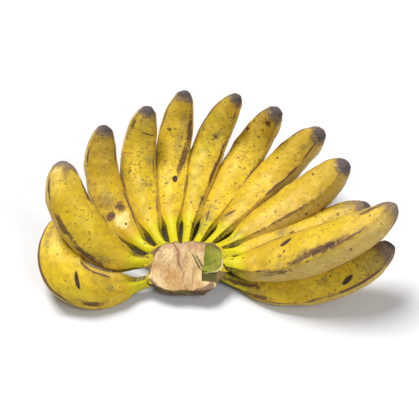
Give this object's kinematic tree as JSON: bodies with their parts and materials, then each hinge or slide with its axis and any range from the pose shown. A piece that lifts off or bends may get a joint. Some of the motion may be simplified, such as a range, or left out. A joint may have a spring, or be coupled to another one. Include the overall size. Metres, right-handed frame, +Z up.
{
  "type": "bunch of bananas",
  "caption": "Hand of short, angular cooking bananas fanned round one cut crown, lying bowl-fashion with the tips curving up.",
  "frame": {"origin": "middle of the bunch's footprint, on the surface it lies on", "axes": "+Z up; the cut face of the crown looks towards -Y, and the fan of fingers runs from -X round +Y to +X"},
  "size_m": [0.3164, 0.2068, 0.0949],
  "materials": {
    "peel": "waxy yellow peel with brown ridges, freckles and dark dry tips",
    "crown_cut": "dry fibrous cut face, beige with brown cracks and a green edge"
  },
  "bodies": {
    "root": {"crown": "crown_cut", "banana_01": "peel", "banana_02": "peel", "banana_03": "peel", "banana_04": "peel", "banana_05": "peel", "banana_06": "peel", "banana_07": "peel", "banana_08": "peel", "banana_09": "peel", "banana_10": "peel", "banana_11": "peel", "banana_12": "peel"}
  },
  "joints": []
}
